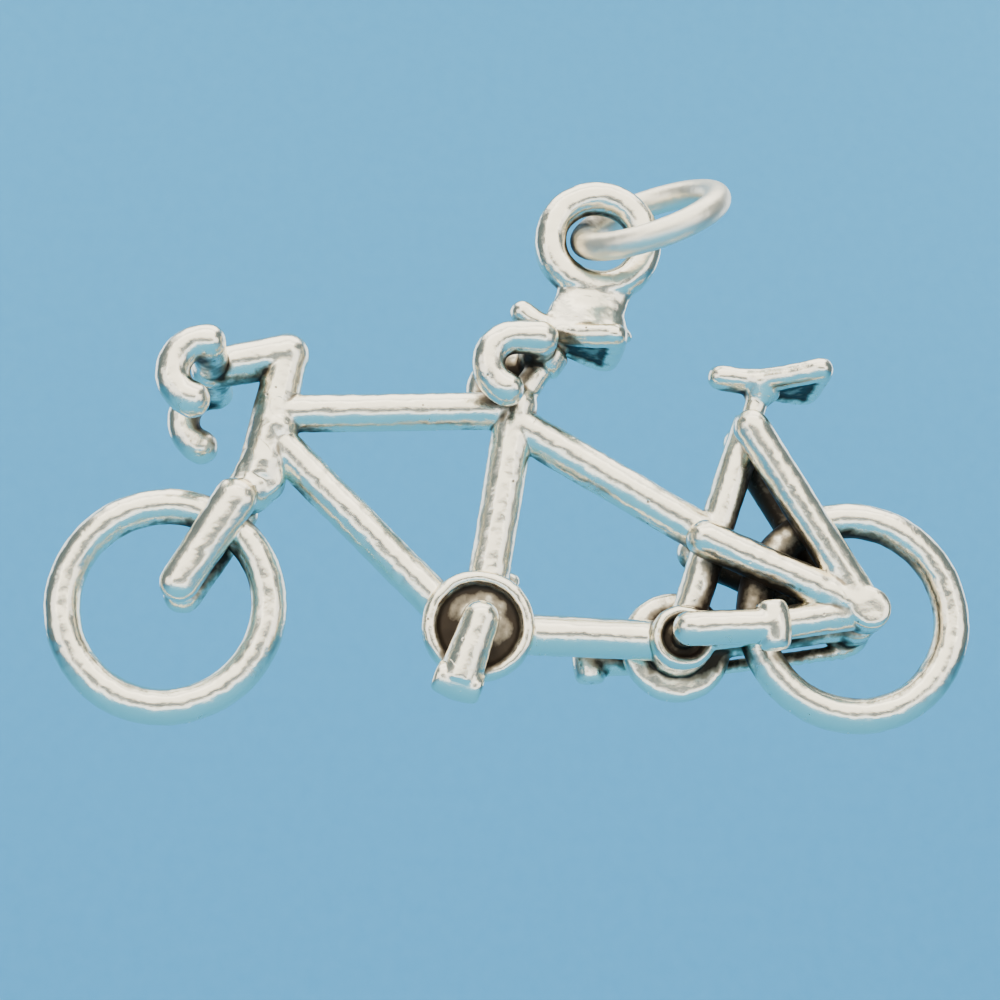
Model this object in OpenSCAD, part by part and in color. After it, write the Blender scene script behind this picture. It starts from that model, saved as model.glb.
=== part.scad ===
// Tandem bicycle charm in oxidised silver, hung from a bail that stands on the captain's saddle.
// The frame is silver wire and rod, butted and soldered; both cranksets turn in their shells,
// and a jump ring runs through the bail.
//
// X runs from the front wheel (-X) to the rear wheel (+X), Z is up, and Y crosses the bicycle,
// with the rider's left side at -Y. The origin is the centre of the bail's eye.

/* [Overall] */
// Distance between the two wheel centres
wheel_base = 19.25; // [18.5:0.05:24]
// Front wheel centre, ahead of the captain's crank axis
front_centre = 8.6; // [8.2:0.05:10.5]
// Distance between the captain's and the stoker's crank axes
crank_base = 5.7; // [5.6:0.05:7]
// Height of the wheel centres above the captain's crank axis
wheel_rise = 0.6; // [0.3:0.05:0.9]
// Height of the captain's seat tube, from the crank axis
front_seat_h = 6.75; // [6.4:0.05:8.2]
// Height of the stoker's seat tube, from the captain's crank axis
rear_seat_h = 6.35; // [5.6:0.05:7.8]

/* [Wheels] */
// Outer diameter of each wheel ring
wheel_od = 6.55; // [5.4:0.05:7]
// Wire diameter of each wheel ring
wheel_wire_d = 0.88; // [0.7:0.02:1.1]

/* [Head and fork] */
// Steering axis, ahead of the captain's crank axis at the crown
crown_x = 6.15; // [6:0.05:7]
// Height of the fork crown above the captain's crank axis
crown_h = 4.3; // [4.1:0.05:5.2]
// Lean of the steering axis from upright
head_lean = 10.5; // [6:0.1:14]
// Diameter of the head tube
head_d = 1.12; // [0.94:0.02:1.3]
// Length of the head tube, from the crown
head_len = 2.45; // [2.3:0.05:2.9]
// Diameter of the fork crown
crown_d = 1.3; // [1.1:0.02:1.5]
// Width of a fork blade, seen from the side
blade_w = 1.1; // [0.9:0.02:1.3]
// Thickness of a fork blade, across the bicycle
blade_t = 0.72; // [0.5:0.02:0.9]
// Top of a blade, ahead of the crown
blade_fore = 0.62; // [0.4:0.02:0.7]
// Top of a blade, below the crown
blade_drop = 0.8; // [0.6:0.02:0.86]
// Foot of a blade, behind the wheel's centre
foot_back = 0.4; // [0.1:0.05:0.6]
// Foot of a blade, above the wheel's centre
foot_up = 0.5; // [0.2:0.05:0.8]

/* [Frame tubes] */
// Diameter of the top tube
top_tube_d = 0.96; // [0.8:0.02:1.15]
// Diameter of the down tube
down_tube_d = 1.0; // [0.84:0.02:1.1]
// Diameter of the captain's seat tube
front_seat_d = 1.06; // [0.9:0.02:1.1]
// Diameter of the lateral tube
lateral_d = 1.03; // [0.86:0.02:1.24]
// Diameter of the stoker's seat tube
rear_seat_d = 0.88; // [0.78:0.02:1.0]
// Diameter of the boom tube between the crank shells
boom_d = 1.02; // [0.84:0.02:1.1]
// Height of the top tube above the crown, on the steering axis
top_tube_head = 1.93; // [1.7:0.01:2]
// Top tube's joint, below the top of the captain's seat tube
top_tube_seat = 0.25; // [0.1:0.05:0.5]
// Height of the down tube above the crown, on the steering axis
down_tube_head = 1.33; // [1:0.01:1.5]
// Down tube's aim, below the captain's crank axis
down_tube_drop = 0.25; // [0:0.05:0.4]
// Captain's seat tube foot, behind the crank axis
seat_foot = 0.1; // [0:0.05:0.3]
// Top of the captain's seat tube, behind its foot
seat_back = 1.05; // [0.9:0.05:1.4]
// Lateral tube's joint, below the top of the captain's seat tube
lateral_seat = 0.65; // [0.5:0.05:0.9]
// Lateral tube's far joint, above the stoker's crank axis
lateral_rear = 3.0; // [2.6:0.05:3.4]
// Top of the stoker's seat tube, behind the stoker's crank axis
rear_seat_back = 2.22; // [2:0.05:2.8]
// Drop of the stoker's crank axis below the captain's
rear_crank_drop = 0.2; // [0:0.05:0.3]

/* [Stays] */
// Diameter of each twin lateral
twin_d = 0.95; // [0.8:0.02:1.14]
// Diameter of each seat stay
seatstay_d = 0.93; // [0.78:0.02:1.12]
// Diameter of each chain stay
chainstay_d = 0.84; // [0.7:0.02:0.9]
// Twin laterals' joint, below the lateral tube's
twin_drop = 0.2; // [0.1:0.05:0.4]
// Twin laterals' joint, ahead of the stoker's seat tube
twin_fore = 0.3; // [0.1:0.05:0.4]
// Depth to which the stays and fork blades are bedded on the wheel rings and tubes
bed = 0.1; // [0.06:0.01:0.14]
// Seat stays' joint, below the top of the stoker's seat tube
seatstay_drop = 0.45; // [0.3:0.05:0.7]
// Diameter of each rear dropout
dropout_d = 1.08; // [1:0.02:1.3]
// Dropout centre, behind the rear wheel's centre
dropout_back = 0.22; // [0.1:0.05:0.4]

/* [Chain] */
// Diameter of the sprocket under the chain
sprocket_d = 1.1; // [0.9:0.05:1.4]
// Diameter of the drive boss under the chain
boss_d = 1.0; // [0.96:0.02:1.4]
// Width of the chain and the sprocket, across the bicycle
chain_w = 0.32; // [0.24:0.02:0.4]
// Thickness of the chain's band
chain_t = 0.26; // [0.2:0.02:0.3]
// Height of the ribs around the chain
rib_h = 0.07; // [0.05:0.01:0.1]
// Number of ribs under the chain, ahead of the sprocket
ribs = 6; // [4:1:7]
// Spacing of those ribs
rib_pitch = 0.32; // [0.26:0.02:0.4]

/* [Crank shells] */
// Outer diameter of each crank shell and its small cup
shell_d = 1.7; // [1.6:0.02:2]
// Half the length of a shell, to the back of its large dish
shell_half = 0.56; // [0.56:0.02:0.7]
// Outer diameter of each large dish
dish_d = 3.0; // [2.6:0.05:3.2]
// Width of a dish's rim
dish_rim = 0.3; // [0.25:0.02:0.4]
// Thickness of a dish's floor
dish_floor = 0.22; // [0.18:0.02:0.3]
// Height of the rim above the floor, on dishes and cups
rim_h = 0.24; // [0.15:0.02:0.3]
// Width of a small cup's rim
cup_rim = 0.22; // [0.16:0.02:0.26]

/* [Cranks and pedals] */
// Diameter of each crank axle
axle_d = 0.6; // [0.5:0.02:0.7]
// Running clearance around each axle
axle_gap = 0.03; // [0.02:0.01:0.06]
// Side clearance between a crank arm and what it turns past
arm_gap = 0.08; // [0.06:0.01:0.14]
// Length of the captain's crank arms, axle to pedal
front_crank_len = 1.85; // [1.75:0.05:2.2]
// Length of the stoker's crank arms, axle to pedal
rear_crank_len = 2.3; // [2.1:0.05:2.5]
// Diameter of the captain's crank arms at the axle
front_arm_root = 0.96; // [0.86:0.02:1.2]
// Diameter of the captain's crank arms at the pedal
front_arm_tip = 1.1; // [0.9:0.02:1.2]
// Diameter of the stoker's crank arms
rear_arm_d = 0.88; // [0.74:0.02:1.06]
// Rest angle of the captain's left crank arm, from forward-to-back level
front_crank_angle = -109; // [-180:1:180]
// Rest angle of the stoker's left crank arm, from forward-to-back level
rear_crank_angle = 3; // [-180:1:180]
// Diameter of each pedal barrel
pedal_d = 0.76; // [0.66:0.02:0.86]
// Length of each pedal barrel over its round ends
pedal_len = 1.6; // [1.4:0.05:1.7]

/* [Handlebars] */
// Wire diameter of both handlebars
bar_d = 0.84; // [0.7:0.02:0.96]
// Swell of a bar's corners and tips, times its wire
knuckle = 1.04; // [1.02:0.01:1.1]
// Captain's bar, ahead of the captain's crank axis
bar_x = 7.58; // [7.2:0.05:8.2]
// Height of the captain's bar above the crank axis
bar_h = 7.55; // [7.3:0.05:8.4]
// Half the width of the captain's bar, to the wire's centre
bar_half = 2.22; // [1.8:0.02:2.7]
// Level stretch of the captain's bar before its drops
bar_reach = 0.06; // [0.04:0.02:0.4]
// Bend radius of the captain's drops
drop_r = 0.87; // [0.7:0.01:1]
// How far round the captain's drops bend
drop_turn = 158; // [140:1:180]
// Height of the stem above the captain's crank axis, at the steering axis
stem_h = 8.0; // [7.5:0.05:8.6]
// Diameter of the stem
stem_d = 1.14; // [0.96:0.02:1.3]
// Diameter of the quill under the stem
quill_d = 1.04; // [0.86:0.02:1.12]
// Half the width of the stoker's bar, to the wire's centre
stoker_half = 1.3; // [1.1:0.02:1.5]
// Level stretch of the stoker's bar before its drops
stoker_reach = 0.7; // [0.5:0.05:0.9]
// Bend radius of the stoker's drops
stoker_drop_r = 0.8; // [0.66:0.02:0.96]
// How far round the stoker's drops bend
stoker_turn = 160; // [140:1:180]
// Stoker's bar axis, up along the captain's seat post
stoker_bar_up = 1.58; // [1.4:0.02:1.7]
// Stoker's bar axis, ahead of the captain's seat post
stoker_bar_fore = 0.34; // [0.3:0.02:0.46]
// Length of the collar that holds the stoker's bar
collar_len = 0.7; // [0.55:0.05:0.8]
// Wall of that collar
collar_wall = 0.16; // [0.12:0.02:0.22]

/* [Saddles] */
// Length of each saddle
saddle_len = 3.4; // [3:0.05:3.9]
// Width of a saddle across its rear corners
saddle_w = 3.0; // [2.6:0.05:3.5]
// Width of a saddle's nose
nose_w = 0.56; // [0.44:0.02:0.7]
// Thickness of a saddle
saddle_t = 0.46; // [0.38:0.02:0.56]
// Length of a saddle's narrow nose
nose_len = 1.3; // [1:0.05:1.6]
// Radius of a saddle's rear corners
saddle_corner = 0.3; // [0.2:0.05:0.4]
// Radius of the captain's saddle's dip, seen from the side
front_dip_r = 4.4; // [4:0.1:7]
// Radius of the stoker's saddle's dip
rear_dip_r = 8.5; // [6:0.1:11]
// Tilt of the captain's saddle, nose up
front_saddle_tilt = 21; // [14:1:24]
// Tilt of the stoker's saddle, nose up
rear_saddle_tilt = 1; // [-4:1:6]
// Seat post's centre, ahead of the middle of the captain's saddle
front_post_set = 0.1; // [-0.1:0.05:0.3]
// Seat post's centre, ahead of the middle of the stoker's saddle
rear_post_set = 0.2; // [0:0.05:0.4]

/* [Seat posts] */
// Diameter of the captain's seat post
front_post_d = 0.68; // [0.56:0.02:0.82]
// Height of the captain's seat post above its seat tube
front_post_h = 1.85; // [1.75:0.05:2.2]
// Top of the captain's seat post, behind its foot
front_post_back = 1.2; // [1.1:0.05:1.5]
// Diameter of the stoker's seat post
rear_post_d = 0.5; // [0.42:0.02:0.6]
// Height of the stoker's seat post above its seat tube
rear_post_h = 0.95; // [0.8:0.05:1.2]
// Diameter of the stoker's seat post where it flares under the saddle
rear_post_flare = 1.1; // [0.9:0.02:1.3]
// Height of that flare
rear_flare_h = 0.4; // [0.3:0.05:0.5]

/* [Bail and jump ring] */
// Outer diameter of the bail ring
bail_d = 3.6; // [3.2:0.02:4]
// Diameter of the bail's eye
eye_d = 2.04; // [1.96:0.02:2.4]
// Thickness of the bail ring, across the bicycle
bail_t = 0.86; // [0.7:0.02:0.96]
// Bevel around both edges of the bail ring
bail_bevel = 0.2; // [0.12:0.02:0.26]
// Height of the bail's eye above the captain's saddle
eye_rise = 3.16; // [3:0.02:3.6]
// Bail's eye, behind the captain's seat post
eye_back = 1.2; // [0.9:0.05:1.4]
// Front of the bail's foot at the saddle, ahead of the eye
foot_fore = 1.7; // [1.4:0.05:1.8]
// Rear of the bail's foot at the saddle, behind the eye
foot_aft = 0.5; // [0.3:0.05:0.7]
// Half the length of the bail's foot where it meets the ring
foot_top = 1.08; // [0.9:0.02:1.2]
// Diameter of the jump ring, at the centre of its wire
ring_d = 4.1; // [3.9:0.01:5]
// Wire diameter of the jump ring
ring_wire_d = 0.82; // [0.7:0.02:0.84]
// Width of the jump ring's closed seam, in degrees of its turn
ring_seam = 0.8; // [0.5:0.1:1.2]
// Rise of the jump ring towards the rear
ring_rise = 25.5; // [10:0.5:45]
// Roll of the jump ring about its long way
ring_roll = 32; // [20:1:36]
// Jump ring's wire, forward of the eye's centre where it passes through
ring_fore = 0.4; // [0.3:0.02:0.42]

/* [Hidden] */
$fn = 48;

LEFT = -1;
RIGHT = 1;
silver = "#d6d1c4";
dark_silver = "#a9a499";

// Points are [x, y, z] from the captain's crank axis; the eye is placed at the origin last.
rear_crank = [crank_base, 0, -rear_crank_drop];
front_hub = [-front_centre, 0, wheel_rise];
rear_hub = [wheel_base - front_centre, 0, wheel_rise];
wheel_r = wheel_od / 2 - wheel_wire_d / 2;

crown = [-crown_x, 0, crown_h];
function on_head(up) = crown + up * [tan(head_lean), 0, 1];
head_top = crown + head_len * [sin(head_lean), 0, cos(head_lean)];
blade_top = crown - [blade_fore, 0, blade_drop];
blade_foot = front_hub + [foot_back, 0, foot_up];
stem_top = on_head(stem_h - crown_h);
bar = [-bar_x, 0, bar_h];

front_seat_foot = [seat_foot, 0, 0];
front_seat_top = [seat_foot + seat_back, 0, front_seat_h];
function on_front_seat(h) = front_seat_foot + h / front_seat_h * (front_seat_top - front_seat_foot);
rear_seat_top = [crank_base + rear_seat_back, 0, rear_seat_h];
rear_seat_len = rear_seat_h + rear_crank_drop;
function on_rear_seat(h) = rear_crank + h / rear_seat_len * (rear_seat_top - rear_crank);

lateral_end = on_rear_seat(lateral_rear);
dropout = rear_hub + [dropout_back, 0, 0];
flank = wheel_wire_d / 2;
side_in = flank - bed;
dropout_out = side_in + max(twin_d, seatstay_d, chainstay_d);

front_post_top = front_seat_top + [front_post_back, 0, front_post_h];
front_post_dir = (front_post_top - front_seat_top) / norm(front_post_top - front_seat_top);
front_post_normal = [-front_post_dir.z, 0, front_post_dir.x];
stoker_bar = front_seat_top + stoker_bar_up * front_post_dir + stoker_bar_fore * front_post_normal;
rear_post_top = rear_seat_top + rear_post_h / rear_seat_len * (rear_seat_top - rear_crank);

// The seat posts run this far past their tops, and are cut back to the saddles' curved undersides.
post_reach = saddle_t * 0.4;
// Highest that a saddle's curved ends rise above its middle.
saddle_rise = saddle_len / 4;

eye = front_post_top + [eye_back, 0, eye_rise];
// Depth below the eye at which the foot's upper edge is buried in the ring.
foot_root = bail_d / 3;

dish_out = shell_half + dish_floor + rim_h;
cup_out = shell_half + rim_h;
chain_out = dropout_out + chain_w;
front_arm_r = max(front_arm_root, front_arm_tip) / 2;
rear_arm_r = max(rear_arm_d, pedal_d) / 2;
front_left_y = -dish_out - arm_gap - front_arm_r;
front_right_y = cup_out + arm_gap + front_arm_r;
rear_left_y = -max(cup_out, dropout_out) - arm_gap - rear_arm_r;
rear_right_y = chain_out + arm_gap + rear_arm_r;

// The jump ring passes through the eye at its own lowest point, at a quarter turn from its roll.
ring_tilt = [ring_roll, -ring_rise, 0];
ring_side = 0.35;
ring_turn = asin(ring_side / (ring_d / 2 * cos(ring_roll)));
ring_long = [cos(ring_rise), 0, sin(ring_rise)];
ring_cross = [-sin(ring_roll) * sin(ring_rise), cos(ring_roll), sin(ring_roll) * cos(ring_rise)];
ring_pass = ring_d / 2 * (sin(ring_turn) * ring_cross - cos(ring_turn) * ring_long);
ring_lift = -0.02;
ring_centre = [-ring_fore, 0, ring_lift] - ring_pass;

module place() {
    translate(-eye) children();
}

// Straight rod from a to b, with a diameter for each end; ends may be rounded with a ball.
module rod(a, b, d, d_end = 0, round_a = false, round_b = false) {
    run = b - a;
    last = d_end > 0 ? d_end : d;
    translate(a) rotate([0, acos(run.z / norm(run)), atan2(run.y, run.x)]) {
        cylinder(h = norm(run), d1 = d, d2 = last);
        if (round_a) sphere(d = d);
        if (round_b) translate([0, 0, norm(run)]) sphere(d = last);
    }
}

// Rod along Y at point p, from y_low to y_high.
module cross_rod(p, y_low, y_high, d) {
    translate([p.x, y_high, p.z]) rotate([90, 0, 0]) cylinder(h = y_high - y_low, d = d);
}

// Flat profile in X-Z, drawn from y_low to y_high.
module cross_plate(y_low, y_high) {
    translate([0, y_high, 0]) rotate([90, 0, 0]) linear_extrude(y_high - y_low) children();
}

// Offset of a rod of diameter d that is bedded on the wheel ring on one side.
function beside(side, d) = [0, side * (side_in + d / 2), 0];

module head_rod() {
    rod(crown, head_top, head_d);
}

module top_rod() {
    rod(on_head(top_tube_head), on_front_seat(front_seat_h - top_tube_seat), top_tube_d);
}

module down_rod() {
    rod(on_head(down_tube_head), [0, 0, -down_tube_drop], down_tube_d);
}

module front_seat_rod() {
    rod(front_seat_foot, front_seat_top, front_seat_d);
}

module rear_seat_rod() {
    rod(rear_crank, rear_seat_top, rear_seat_d);
}

module lateral_rod() {
    rod(on_front_seat(front_seat_h - lateral_seat), lateral_end, lateral_d);
}

module front_post_rod() {
    rod(front_seat_top, front_post_top + post_reach * front_post_dir, front_post_d, round_a = true);
}

module wheel_solid(hub) {
    translate(hub) rotate([90, 0, 0])
        rotate_extrude() translate([wheel_r, 0]) circle(d = wheel_wire_d);
}

module head_tube() {
    color(silver) place() difference() {
        head_rod();
        cross_rod(crown, -side_in, side_in, crown_d);
    }
}

module top_tube() {
    color(silver) place() difference() {
        top_rod();
        head_rod();
        front_seat_rod();
        front_post_rod();
    }
}

module down_tube() {
    color(silver) place() difference() {
        down_rod();
        head_rod();
        top_rod();
        shell_body([0, 0, 0]);
    }
}

module front_seat_tube() {
    color(silver) place() difference() {
        front_seat_rod();
        shell_body([0, 0, 0]);
        down_rod();
    }
}

module boom_tube() {
    color(silver) place() difference() {
        rod([0, 0, 0], rear_crank, boom_d);
        shell_body([0, 0, 0]);
        shell_body(rear_crank);
        front_seat_rod();
        rear_seat_rod();
    }
}

module lateral_tube() {
    color(silver) place() difference() {
        lateral_rod();
        front_seat_rod();
        rear_seat_rod();
    }
}

module rear_seat_tube() {
    color(silver) place() difference() {
        rear_seat_rod();
        shell_body(rear_crank);
    }
}

module dropout_body(side) {
    y_low = min(side * side_in, side * dropout_out);
    cross_rod(dropout, y_low, y_low + dropout_out - side_in, dropout_d);
}

module seatstay_rod(side) {
    shift = beside(side, seatstay_d);
    top = on_rear_seat(rear_seat_len - seatstay_drop);
    rod(top + shift, dropout + shift, seatstay_d, round_a = true);
}

module twin_rod(side) {
    shift = beside(side, twin_d) - [twin_fore, 0, 0];
    top = on_rear_seat(lateral_rear - twin_drop);
    rod(top + shift, dropout + beside(side, twin_d), twin_d, round_a = true);
}

module seatstay(side) {
    color(silver) place() difference() {
        seatstay_rod(side);
        dropout_body(side);
        rear_seat_rod();
        wheel_solid(rear_hub);
    }
}

module twin_lateral(side) {
    color(silver) place() difference() {
        twin_rod(side);
        dropout_body(side);
        seatstay_rod(side);
        lateral_rod();
        rear_seat_rod();
        wheel_solid(rear_hub);
    }
}

// The right chain stay starts at the drive dish's edge, the left one at the crank shell.
module chainstay(side) {
    shift = beside(side, chainstay_d);
    color(silver) place() difference() {
        rod(rear_crank + shift, dropout + shift, chainstay_d);
        cross_rod(rear_crank, -dropout_out, dropout_out, side > 0 ? dish_d : shell_d);
        dropout_body(side);
        seatstay_rod(side);
        twin_rod(side);
        wheel_solid(rear_hub);
    }
}

module dropout_end(side) {
    color(silver) place() dropout_body(side);
}

module rear_sprocket() {
    color(dark_silver) place() cross_rod(rear_hub, dropout_out, chain_out, sprocket_d);
}

// Outline that runs round two discs of radius r_boss and r_far, like a belt.
module belt(span, r_boss, r_far) {
    lean = acos((r_boss - r_far) / span);
    circle(r = r_boss);
    translate([span, 0]) circle(r = r_far);
    polygon([
        r_boss * [cos(lean), sin(lean)], r_boss * [cos(lean), -sin(lean)],
        [span, 0] + r_far * [cos(lean), -sin(lean)], [span, 0] + r_far * [cos(lean), sin(lean)]
    ]);
}

module chain() {
    run = rear_hub - rear_crank;
    span = norm(run);
    far = sprocket_d / 2 + chain_t;
    low = asin((boss_d - sprocket_d) / 2 / span);
    color(dark_silver) place()
        translate(rear_crank) rotate([0, -atan2(run.z, run.x), 0]) cross_plate(dropout_out, chain_out)
            difference() {
                union() {
                    belt(span, boss_d / 2 + chain_t, far);
                    translate([span, 0]) rotate(-90 - low) for (i = [0:ribs - 1])
                        translate([far - chain_t / 2, -chain_t / 2 - i * rib_pitch])
                            square([chain_t / 2 + rib_h, chain_t / 2]);
                }
                belt(span, boss_d / 2, sprocket_d / 2);
            }
}

module shell_body(p) {
    cross_rod(p, -shell_half, shell_half, shell_d);
}

module axle_bore(p) {
    cross_rod(p, -2 * chain_out, 2 * chain_out, axle_d + 2 * axle_gap);
}

// Crank shell with a small cup on the side away from its large dish.
module crank_shell(p, cup_side) {
    y_low = cup_side > 0 ? -shell_half : -cup_out;
    y_floor = cup_side > 0 ? shell_half : -cup_out;
    color(silver) place() difference() {
        cross_rod(p, y_low, y_low + shell_half + cup_out, shell_d);
        cross_rod(p, y_floor, y_floor + rim_h, shell_d - 2 * cup_rim);
        axle_bore(p);
    }
}

// Large dish, hollow on its outer side, with a boss for the chain if asked.
module dish(p, side, boss) {
    y_low = side > 0 ? shell_half : -dish_out;
    y_floor = side > 0 ? dish_out - rim_h : -dish_out;
    color(silver) place() difference() {
        union() {
            difference() {
                cross_rod(p, y_low, y_low + dish_floor + rim_h, dish_d);
                cross_rod(p, y_floor, y_floor + rim_h, dish_d - 2 * dish_rim);
            }
            if (boss) cross_rod(p, y_low, chain_out, boss_d);
        }
        axle_bore(p);
    }
}

module fork_crown() {
    color(silver) place() cross_rod(crown, -side_in, side_in, crown_d);
}

// Flat-sided blade with round ends, bedded on the side of the wheel ring.
module fork_blade(side) {
    run = blade_foot - blade_top;
    y_low = min(side * side_in, side * (side_in + blade_t));
    color(silver) place() difference() {
        translate(blade_top) rotate([0, -atan2(run.z, run.x), 0])
            cross_plate(y_low, y_low + blade_t) {
                circle(d = blade_w);
                translate([norm(run), 0]) circle(d = blade_w);
                translate([0, -blade_w / 2]) square([norm(run), blade_w]);
            }
        head_rod();
        wheel_solid(front_hub);
    }
}

module wheel(hub) {
    color(silver) place() wheel_solid(hub);
}

module stem() {
    color(silver) place() difference() {
        union() {
            rod(head_top, stem_top, quill_d);
            rod(stem_top, bar, stem_d, round_a = true);
        }
        head_rod();
        top_rod();
        cross_rod(bar, -bar_half, bar_half, bar_d);
    }
}

// Part of a wire ring in the X-Z plane, from the top round the front by the given turn.
module drop(p, r, turn, d) {
    translate(p - [0, 0, r]) rotate([90, 0, 0]) rotate(90) {
        rotate_extrude(angle = turn) translate([r, 0]) circle(d = d);
        rotate(turn) translate([r, 0]) sphere(d = knuckle * d);
    }
}

// Level bar at point p whose ends turn forward, run level for the reach and then bend down.
module drop_bar(p, half, reach, r, turn) {
    rod(p - [0, half, 0], p + [0, half, 0], bar_d);
    for (side = [LEFT, RIGHT]) {
        corner = p + [0, side * half, 0];
        translate(corner) sphere(d = knuckle * bar_d);
        rod(corner, corner - [reach, 0, 0], bar_d);
        drop(corner - [reach, 0, 0], r, turn, bar_d);
    }
}

module front_handlebar() {
    color(silver) place() drop_bar(bar, bar_half, bar_reach, drop_r, drop_turn);
}

module front_seat_post() {
    color(silver) place() difference() {
        front_post_rod();
        front_seat_rod();
        on_post(front_post_top, front_post_set, front_saddle_tilt) dip(front_dip_r, 0);
    }
}

module stoker_collar() {
    mid = front_seat_top + stoker_bar_up * front_post_dir;
    half = collar_len / 2 * front_post_dir;
    color(silver) place() difference() {
        rod(mid - half, mid + half, front_post_d + 2 * collar_wall);
        front_post_rod();
        cross_rod(stoker_bar, -stoker_half, stoker_half, bar_d);
        on_post(front_post_top, front_post_set, front_saddle_tilt) dip(front_dip_r, 0);
    }
}

module stoker_handlebar() {
    color(silver) place() difference() {
        drop_bar(stoker_bar, stoker_half, stoker_reach, stoker_drop_r, stoker_turn);
        front_post_rod();
    }
}

module rear_seat_post() {
    up = (rear_post_top - rear_seat_top) / norm(rear_post_top - rear_seat_top);
    color(silver) place() difference() {
        union() {
            rod(rear_seat_top, rear_post_top + post_reach * up, rear_post_d);
            on_post(rear_post_top, 0, rear_saddle_tilt) translate([0, 0, -rear_flare_h])
                cylinder(h = rear_flare_h + post_reach, d1 = rear_post_d, d2 = rear_post_flare);
        }
        on_post(rear_post_top, rear_post_set, rear_saddle_tilt) dip(rear_dip_r, 0);
    }
}

module saddle_outline() {
    front = -saddle_len / 2;
    rear = saddle_len / 2;
    flare = front + nose_len;
    half = saddle_w / 2;
    translate([front + nose_w / 2, 0]) circle(d = nose_w);
    for (side = [LEFT, RIGHT])
        translate([rear - saddle_corner, side * (half - saddle_corner)]) circle(r = saddle_corner);
    polygon([
        [front + nose_w / 2, -nose_w / 2], [flare, -nose_w / 2],
        [rear - saddle_corner, -half], [rear, saddle_corner - half],
        [rear, half - saddle_corner], [rear - saddle_corner, half],
        [flare, nose_w / 2], [front + nose_w / 2, nose_w / 2]
    ]);
}

// Moves to a saddle's own frame: its middle, on the underside.
module on_post(post, set, tilt) {
    translate(post) rotate([0, tilt, 0]) translate([set, 0, 0]) children();
}

// Everything above a curved floor that dips by the given radius, at height h over the middle.
module dip(dip_r, h) {
    translate([0, 0, dip_r]) rotate([90, 0, 0])
        cylinder(h = 2 * saddle_w, r = dip_r - h, center = true);
}

module saddle_solid(dip_r) {
    intersection() {
        translate([0, 0, -saddle_t]) linear_extrude(2 * saddle_t + saddle_rise) saddle_outline();
        difference() {
            dip(dip_r, 0);
            dip(dip_r, saddle_t);
        }
    }
}

module captain_saddle_solid() {
    on_post(front_post_top, front_post_set, front_saddle_tilt) saddle_solid(front_dip_r);
}

module stoker_saddle_solid() {
    on_post(rear_post_top, rear_post_set, rear_saddle_tilt) saddle_solid(rear_dip_r);
}

module front_saddle() {
    color(silver) place() captain_saddle_solid();
}

module rear_saddle() {
    color(silver) place() stoker_saddle_solid();
}

// Ring whose edges are bevelled all round, inside and out.
module bail_ring() {
    half = bail_t / 2;
    inner = eye_d / 2;
    outer = bail_d / 2;
    color(silver) rotate([90, 0, 0]) rotate_extrude() polygon([
        [inner, bail_bevel - half], [inner + bail_bevel, -half],
        [outer - bail_bevel, -half], [outer, bail_bevel - half],
        [outer, half - bail_bevel], [outer - bail_bevel, half],
        [inner + bail_bevel, half], [inner, half - bail_bevel]
    ]);
}

// Web of metal that spreads from the ring down onto the captain's saddle.
module bail_foot() {
    color(silver) difference() {
        intersection() {
            cross_plate(-bail_t / 2, bail_t / 2) polygon([
                [-foot_fore, -eye_rise], [foot_aft, -eye_rise],
                [foot_top, -foot_root], [-foot_top, -foot_root]
            ]);
            place() on_post(front_post_top, front_post_set, front_saddle_tilt)
                dip(front_dip_r, saddle_t);
        }
        rotate([90, 0, 0]) cylinder(h = 2 * bail_t, d = bail_d, center = true);
    }
}

module jump_ring() {
    color(silver) translate(ring_centre) rotate(ring_tilt) rotate(180 + ring_seam / 2)
        rotate_extrude(angle = 360 - ring_seam) translate([ring_d / 2, 0]) circle(d = ring_wire_d);
}

function arm_dir(angle) = [cos(angle), 0, sin(angle)];

module crank_axle(p, y_left, y_right) {
    color(silver) place() cross_rod(p, y_left, y_right, axle_d);
}

// Tapered arm with a round root, cut out for its axle and its pedal.
module crank_arm(p, y, length, angle, d_root, d_tip) {
    root = [p.x, y, p.z];
    tip = root + length * arm_dir(angle);
    color(silver) place() difference() {
        rod(root, tip, d_root, d_tip, round_a = true);
        cross_rod(p, min(y, 0), max(y, 0), axle_d);
        pedal_solid(tip, angle);
    }
}

// Barrel across the end of the arm.
module pedal_solid(tip, angle) {
    half = (pedal_len - pedal_d) / 2 * arm_dir(angle + 90);
    rod(tip - half, tip + half, pedal_d, round_a = true, round_b = true);
}

module crank_pedal(p, y, length, angle) {
    color(silver) place() pedal_solid([p.x, y, p.z] + length * arm_dir(angle), angle);
}

module front_arm(y, turn) {
    crank_arm([0, 0, 0], y, front_crank_len, front_crank_angle + turn, front_arm_root, front_arm_tip);
}

module rear_arm(y, turn) {
    crank_arm(rear_crank, y, rear_crank_len, rear_crank_angle + turn, rear_arm_d, rear_arm_d);
}

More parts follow.
